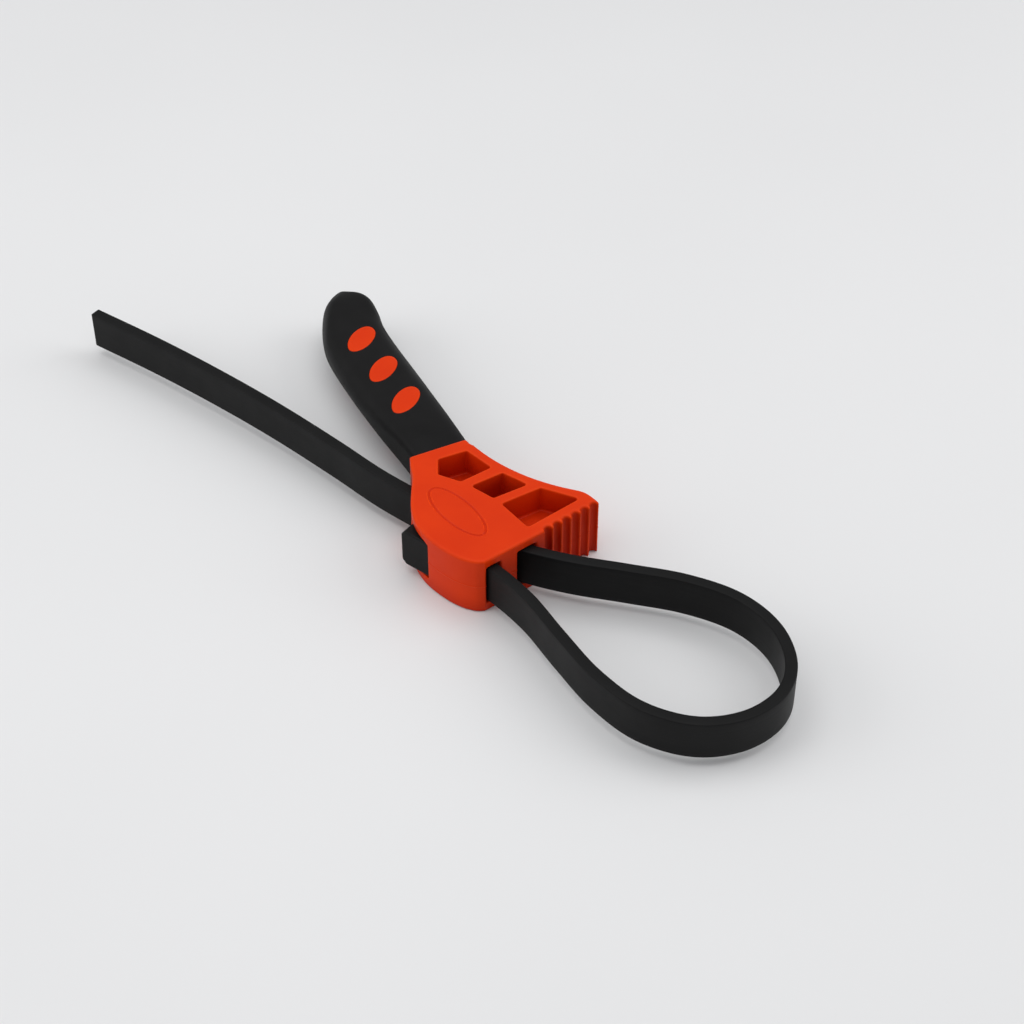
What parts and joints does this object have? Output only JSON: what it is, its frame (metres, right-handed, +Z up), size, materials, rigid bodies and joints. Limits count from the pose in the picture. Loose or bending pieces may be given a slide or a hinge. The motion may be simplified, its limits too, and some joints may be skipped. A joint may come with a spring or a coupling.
{
  "type": "strap wrench",
  "caption": "Strap wrench with a moulded head, a soft-gripped handle and a flexible rubber strap that loops out of the head and feeds back through it.",
  "frame": {"origin": "on the head's flat underside, midway between the two strap slots", "axes": "+X along the strap from the head out into the loop, +Z up from the surface the tool lies on, +Y towards the side the handle leans to"},
  "size_m": [0.4646, 0.1673, 0.034],
  "materials": {
    "orange_nylon": "satin moulded",
    "grip_rubber": "matte overmoulded",
    "strap_rubber": "matte",
    "woven_ply": "woven"
  },
  "bodies": {
    "head": {"head_frame": "orange_nylon", "handle_grip": "grip_rubber", "strap_anchor": "strap_rubber", "strap_near_leg": "strap_rubber", "strap_far_leg": "strap_rubber", "ply_anchor": "woven_ply", "ply_near_leg": "woven_ply", "ply_far_leg": "woven_ply"},
    "loop": {"strap_loop": "strap_rubber", "ply_loop": "woven_ply"},
    "tail": {"strap_tail": "strap_rubber", "ply_tail": "woven_ply"}
  },
  "joints": [
    {"name": "strap_feed", "type": "slide", "parent": "head", "child": "tail", "axis": [-1, 0, 0], "range_m": [-0.02, 0.1]},
    {"name": "loop_draw", "type": "slide", "parent": "head", "child": "loop", "axis": [-1, 0, 0], "range_m": [-0.01, 0.05], "deforming": ["strap_near_leg", "strap_far_leg", "ply_near_leg", "ply_far_leg"]}
  ],
  "couplings": [
    {"joint": "loop_draw", "follows": "strap_feed", "ratio": 0.5}
  ]
}
